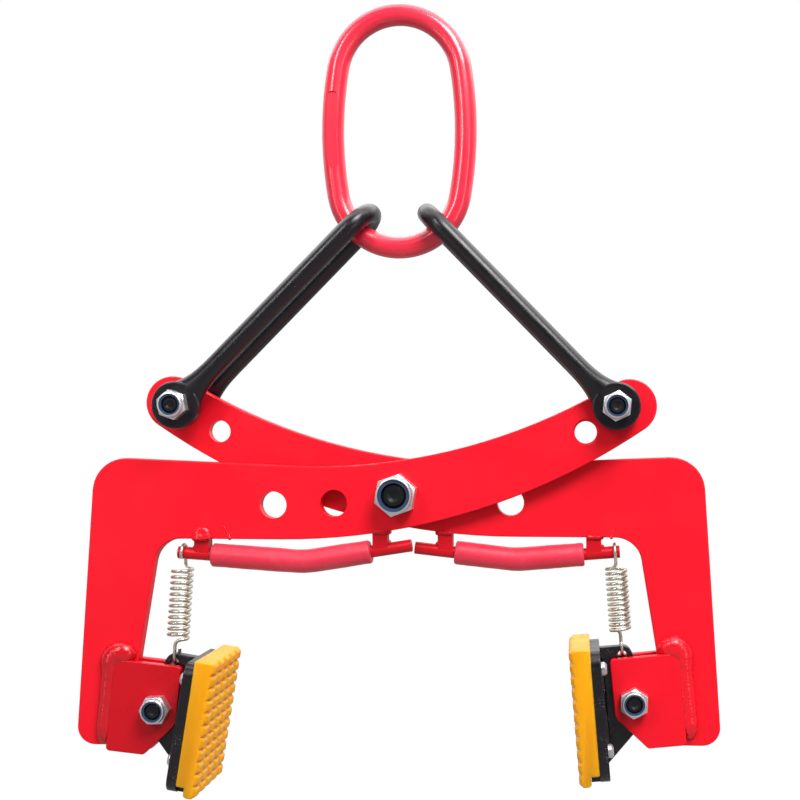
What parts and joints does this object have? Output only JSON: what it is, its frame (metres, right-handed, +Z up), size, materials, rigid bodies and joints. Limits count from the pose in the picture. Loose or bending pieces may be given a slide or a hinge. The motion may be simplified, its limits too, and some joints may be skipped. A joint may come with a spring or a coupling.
{
  "type": "stone lifting clamp",
  "caption": "Scissor lifting clamp: crossed plate arms on a pivot, hung by long shackles from a master link, with sprung studded pads that grip a stone and a hand grip on each arm.",
  "frame": {"origin": "seat of the crane hook: inside top of the master link, on the middle plane between the arms", "axes": "+X to the right seen from the nut side, +Y away from that side along the pivot bolt, +Z up"},
  "size_m": [0.4698, 0.082, 0.5696],
  "materials": {
    "red_paint": "gloss",
    "black_enamel": "satin",
    "zinc_plate": "bright zinc plate",
    "nylon_blue": "matte",
    "grip_sleeve_red": "matte",
    "pad_yellow": "satin",
    "spring_steel": "bright"
  },
  "bodies": {
    "master_link": {"master_link": "red_paint"},
    "right_shackle": {"right_shackle": "black_enamel", "right_eye_bolt": "zinc_plate", "right_eye_nut": "zinc_plate", "right_eye_nut_insert": "nylon_blue"},
    "front_arm": {"front_arm_plate": "red_paint", "left_inner_cheek": "red_paint", "left_outer_cheek": "red_paint", "left_handle_rod": "red_paint", "left_handle_posts": "red_paint", "left_handle_grip": "grip_sleeve_red", "left_pad_spring": "spring_steel", "left_pad_bolt": "zinc_plate", "left_pad_nut": "zinc_plate", "left_pad_nut_insert": "nylon_blue", "pivot_bolt": "zinc_plate", "pivot_nut": "zinc_plate", "pivot_nut_insert": "nylon_blue", "pivot_spacer": "zinc_plate"},
    "rear_arm": {"rear_arm_plate": "red_paint", "right_inner_cheek": "red_paint", "right_outer_cheek": "red_paint", "right_handle_rod": "red_paint", "right_handle_posts": "red_paint", "right_handle_grip": "grip_sleeve_red", "right_pad_spring": "spring_steel", "right_pad_bolt": "zinc_plate", "right_pad_nut": "zinc_plate", "right_pad_nut_insert": "nylon_blue"},
    "left_shackle": {"left_shackle": "black_enamel", "left_eye_bolt": "zinc_plate", "left_eye_nut": "zinc_plate", "left_eye_nut_insert": "nylon_blue"},
    "left_pad": {"left_pad_plate": "black_enamel", "left_pad_lug": "black_enamel", "left_grip_face": "pad_yellow", "left_pad_screws": "zinc_plate"},
    "right_pad": {"right_pad_plate": "black_enamel", "right_pad_lug": "black_enamel", "right_grip_face": "pad_yellow", "right_pad_screws": "zinc_plate"}
  },
  "joints": [
    {"name": "right_shackle_swing", "type": "hinge", "parent": "master_link", "child": "right_shackle", "pos_m": [0, 0, -0.1145], "axis": [0, 1, 0], "range_deg": [-2.2, 7]},
    {"name": "front_arm_eye", "type": "hinge", "parent": "right_shackle", "child": "front_arm", "pos_m": [0.1575, 0, -0.27448], "axis": [0, 1, 0], "range_deg": [-22, 6.7]},
    {"name": "scissor", "type": "hinge", "parent": "front_arm", "child": "rear_arm", "pos_m": [0, 0, -0.33848], "axis": [0, 1, 0], "range_deg": [-9, 30]},
    {"name": "left_shackle_eye", "type": "hinge", "parent": "rear_arm", "child": "left_shackle", "pos_m": [-0.1575, 0, -0.27448], "axis": [0, 1, 0], "range_deg": [-22, 6.7]},
    {"name": "left_pad_tilt", "type": "hinge", "parent": "front_arm", "child": "left_pad", "pos_m": [-0.174, -0.006, -0.49448], "axis": [0, 1, 0], "range_deg": [-8.5, 8.5], "stiffness_Nm_per_rad": 2, "deforming": ["left_pad_spring"]},
    {"name": "right_pad_tilt", "type": "hinge", "parent": "rear_arm", "child": "right_pad", "pos_m": [0.1715, 0.006, -0.48798], "axis": [0, -1, 0], "range_deg": [-5, 12], "stiffness_Nm_per_rad": 2, "deforming": ["right_pad_spring"]}
  ],
  "couplings": [
    {"joint": "right_shackle_swing", "follows": "scissor", "ratio": 0.23},
    {"joint": "front_arm_eye", "follows": "scissor", "ratio": -0.73},
    {"joint": "left_shackle_eye", "follows": "scissor", "ratio": -0.73}
  ]
}
